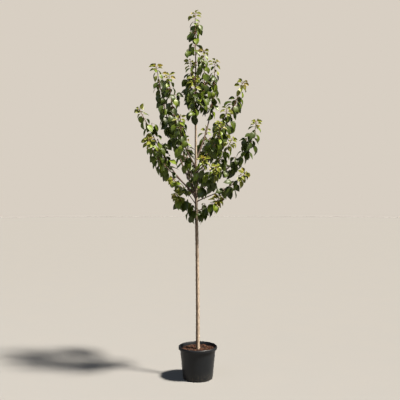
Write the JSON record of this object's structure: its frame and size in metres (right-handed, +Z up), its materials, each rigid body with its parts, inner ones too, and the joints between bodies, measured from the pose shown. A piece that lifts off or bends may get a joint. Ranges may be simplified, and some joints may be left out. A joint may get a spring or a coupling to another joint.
{
  "type": "young broadleaf tree in a nursery pot",
  "caption": "Young broadleaf tree with a straight bare trunk, slender rising boughs and hanging glossy leaves, standing in a round black nursery pot filled with compost.",
  "frame": {"origin": "centre of the pot's flat underside, where the trunk's axis meets the floor", "axes": "+Z up along the trunk, -Y towards the viewer of the front, +X to the viewer's right"},
  "size_m": [0.912, 0.7434, 2.6691],
  "materials": {
    "moulded_plastic": "matte charcoal, moulded",
    "bark_compost": "rough, moist chips",
    "bark": "matte grey-brown bark",
    "foliage": "satin leaf"
  },
  "bodies": {
    "root": {"pot": "moulded_plastic", "compost": "bark_compost", "trunk": "bark", "bough_back_left": "bark", "bough_back_low": "bark", "bough_back_right": "bark", "bough_front_low": "bark", "bough_front_mid": "bark", "bough_front_right": "bark", "bough_front_upper": "bark", "bough_left_drop": "bark", "bough_left_inner": "bark", "bough_left_low": "bark", "bough_left_second": "bark", "bough_left_short": "bark", "bough_left_tall": "bark", "bough_left_wide": "bark", "bough_right_arm": "bark", "bough_right_back": "bark", "bough_right_low": "bark", "bough_right_mid": "bark", "bough_right_tall": "bark", "bough_right_wide": "bark", "bough_upper_front": "bark", "bough_upper_left": "bark", "bough_upper_right": "bark", "foliage_back_left": "foliage", "foliage_back_low": "foliage", "foliage_back_right": "foliage", "foliage_front_low": "foliage", "foliage_front_mid": "foliage", "foliage_front_right": "foliage", "foliage_front_upper": "foliage", "foliage_leader_1": "foliage", "foliage_leader_2": "foliage", "foliage_leader_3": "foliage", "foliage_leader_4": "foliage", "foliage_leader_5": "foliage", "foliage_leader_6": "foliage", "foliage_leader_7": "foliage", "foliage_leader_tip": "foliage", "foliage_left_drop": "foliage", "foliage_left_inner": "foliage", "foliage_left_low": "foliage", "foliage_left_second": "foliage", "foliage_left_short": "foliage", "foliage_left_tall": "foliage", "foliage_left_wide": "foliage", "foliage_right_arm": "foliage", "foliage_right_back": "foliage", "foliage_right_low": "foliage", "foliage_right_mid": "foliage", "foliage_right_tall": "foliage", "foliage_right_wide": "foliage", "foliage_spur_left": "foliage", "foliage_spur_right": "foliage", "foliage_upper_front": "foliage", "foliage_upper_left": "foliage", "foliage_upper_right": "foliage"}
  },
  "joints": []
}
